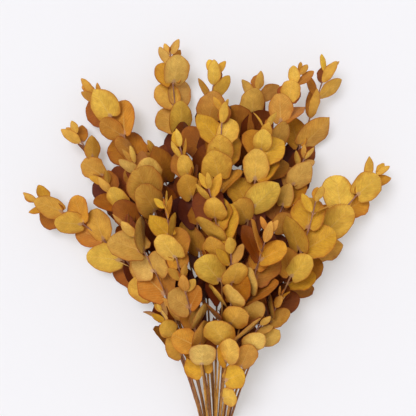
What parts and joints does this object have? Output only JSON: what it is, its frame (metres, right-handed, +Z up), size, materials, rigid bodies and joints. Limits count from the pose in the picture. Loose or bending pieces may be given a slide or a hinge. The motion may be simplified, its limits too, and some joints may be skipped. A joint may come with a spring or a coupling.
{
  "type": "dried eucalyptus bunch",
  "caption": "Loose bunch of dried round-leaved eucalyptus, its stems held by a plain band and its leafy tips fanned out, lying flat; for dry flower arrangements.",
  "frame": {"origin": "middle of the flat underside of the band, on the surface the bunch lies on", "axes": "+Y from the band along the bunch to the leaf tips, +Z up from the surface, +X to the right when seen from above with the tips away from the viewer"},
  "size_m": [0.4674, 0.6231, 0.1359],
  "materials": {
    "foliage": "matte",
    "band": "matte"
  },
  "bodies": {
    "root": {"spray_bottom_1": "foliage", "spray_bottom_2": "foliage", "spray_bottom_3": "foliage", "spray_bottom_4": "foliage", "spray_bottom_5": "foliage", "spray_bottom_6": "foliage", "spray_bottom_7": "foliage", "spray_lower_1": "foliage", "spray_lower_2": "foliage", "spray_lower_3": "foliage", "spray_lower_4": "foliage", "spray_lower_5": "foliage", "spray_lower_6": "foliage", "spray_lower_7": "foliage", "spray_upper_1": "foliage", "spray_upper_2": "foliage", "spray_upper_3": "foliage", "spray_upper_4": "foliage", "spray_upper_5": "foliage", "spray_upper_6": "foliage", "spray_upper_7": "foliage", "spray_top_1": "foliage", "spray_top_2": "foliage", "spray_top_3": "foliage", "spray_top_4": "foliage", "spray_top_5": "foliage", "spray_top_6": "foliage", "spray_top_7": "foliage", "band": "band"}
  },
  "joints": []
}
